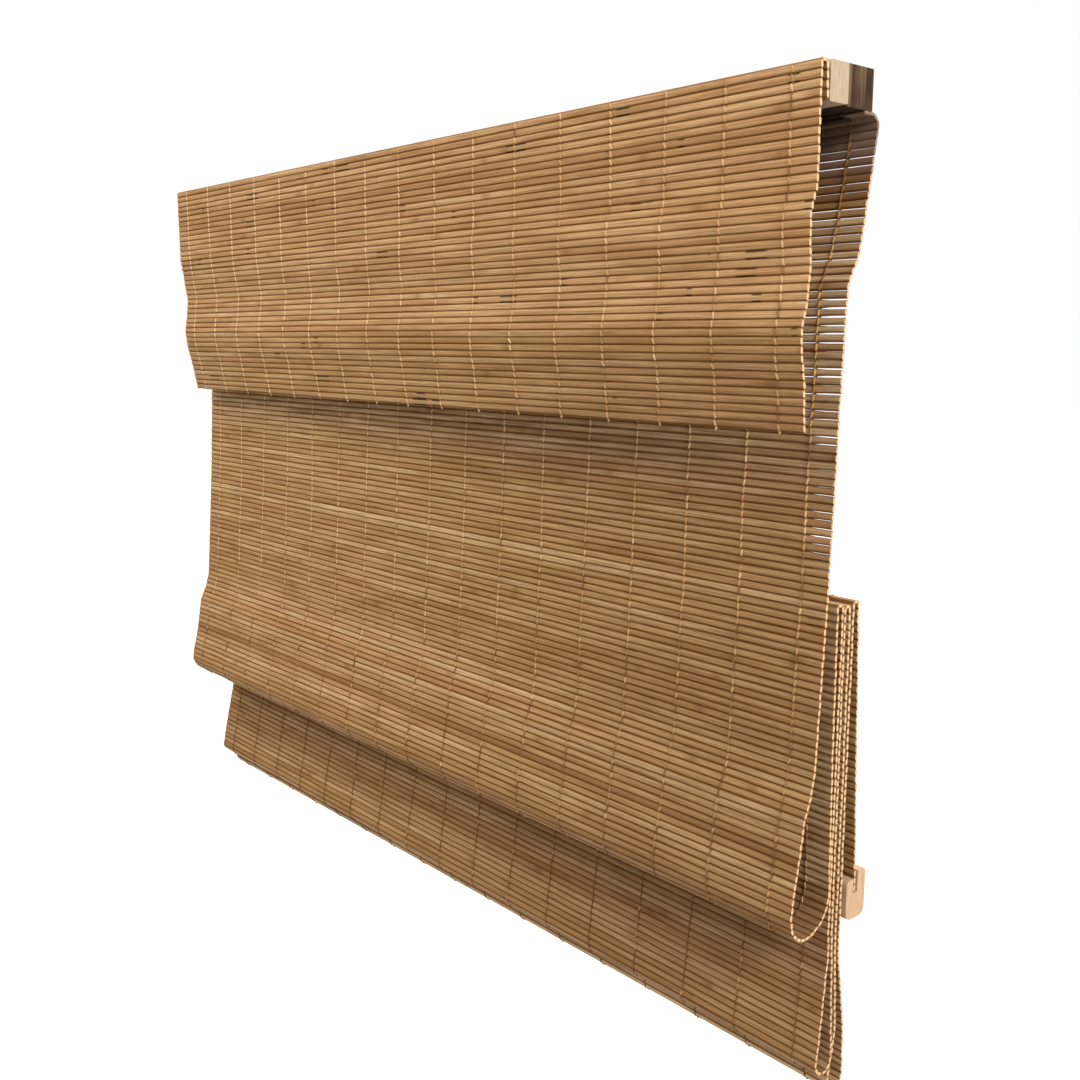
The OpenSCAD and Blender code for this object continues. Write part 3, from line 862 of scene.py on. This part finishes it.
stage = {
    "floor": -1.02, "reach": 14.0, "tint": srgb(196, 194, 190), "dust": srgb(206, 204, 200), "dustScale": 3.0,
    "glowBand": (1.2, 3.5, 0.7, 1.0),  # from and to how far away, and the glow at each
    "roughness": 0.9, "ambient": 0.3,
}
lamps = {
    "key": {"place": (-0.65, -1.25, 1.5), "aim": (-0.05, 0.0, -0.2), "size": 1.9, "watts": 53.0},
    "fill": {"place": (1.9, -1.5, 0.1), "aim": (0.2, 0.0, -0.35), "size": 1.4, "watts": 2.0},
    "side": {"place": (2.2, -0.4, 0.9), "aim": (0.4, 0.0, -0.3), "size": 0.9, "watts": 54.0},
    "back": {"place": (-0.5, 2.0, 1.3), "aim": (0.0, 0.0, -0.35), "size": 1.8, "watts": 60.0},
}
camera = {
    "place": (0.888, -0.62725, -0.1633), "forward": (-0.7441, 0.6469, -0.1668),
    "lens": 39.77, "sensor": 36.0, "nearest": 0.02,
}
white = (1.0, 1.0, 1.0, 1.0)


def backgroundRays(tree):
    # what the camera, gloss and glass see as background
    rays = addNode(tree, "ShaderNodeLightPath").outputs
    seen = math2(tree, "MAXIMUM", rays["Is Camera Ray"], rays["Is Glossy Ray"])
    return math2(tree, "MAXIMUM", seen, rays["Is Transmission Ray"])


def makeFloor():
    finish, tree, shader = newFinish("paleFloor")
    place = objectPlace(tree)
    dust = noiseAt(tree, place, stage["dustScale"], 4.0)
    tree.links.new(mixColor(tree, dust, stage["tint"], stage["dust"]), shader.inputs["Base Color"])
    shader.inputs["Roughness"].default_value = stage["roughness"]
    away = addNode(tree, "ShaderNodeVectorMath", {0: place}, operation="LENGTH").outputs["Value"]
    strength = times(tree, backgroundRays(tree), smoothBand(tree, away, *stage["glowBand"]))
    glow = addNode(tree, "ShaderNodeEmission", {"Color": white, "Strength": strength})
    both = addNode(tree, "ShaderNodeAddShader", {0: shader.outputs[0], 1: glow.outputs[0]})
    tree.links.new(both.outputs[0], tree.nodes["Material Output"].inputs[0])
    r, z = stage["reach"], stage["floor"]
    mesh = bpy.data.meshes.new("floor")
    mesh.from_pydata([(-r, -r, z), (r, -r, z), (r, r, z), (-r, r, z)], [], [(0, 1, 2, 3)])
    mesh.materials.append(finish)
    floor = addObject("floor", mesh)


def makeWorld():
    world = bpy.data.worlds.new("studio")
    bpy.context.scene.world = world
    world.use_nodes = True
    tree = world.node_tree
    back = tree.nodes["Background"]
    back.inputs["Color"].default_value = white
    strength = addNode(tree, "ShaderNodeMapRange", {0: backgroundRays(tree), 3: stage["ambient"], 4: 1.0})
    tree.links.new(strength.outputs[0], back.inputs["Strength"])


def pointAlong(direction):
    return Vector(direction).to_track_quat("-Z", "Y").to_euler()


def makeLamp(name, look):
    data = bpy.data.lights.new(name, "AREA")
    data.shape = "DISK"
    data.size = look["size"]
    data.energy = look["watts"]
    lamp = addObject(name, data)
    lamp.location = look["place"]
    lamp.rotation_euler = pointAlong(Vector(look["aim"]) - Vector(look["place"]))


def makeCamera():
    data = bpy.data.cameras.new("camera")
    data.lens = camera["lens"]
    data.sensor_width = camera["sensor"]
    data.clip_start = camera["nearest"]
    eye = addObject("camera", data)
    eye.location = camera["place"]
    eye.rotation_euler = pointAlong(camera["forward"])
    bpy.context.scene.camera = eye


makeFloor()
makeWorld()
for name, look in lamps.items():
    makeLamp(name, look)
makeCamera()
bpy.context.scene.view_settings.view_transform = "Standard"
print("stage set")
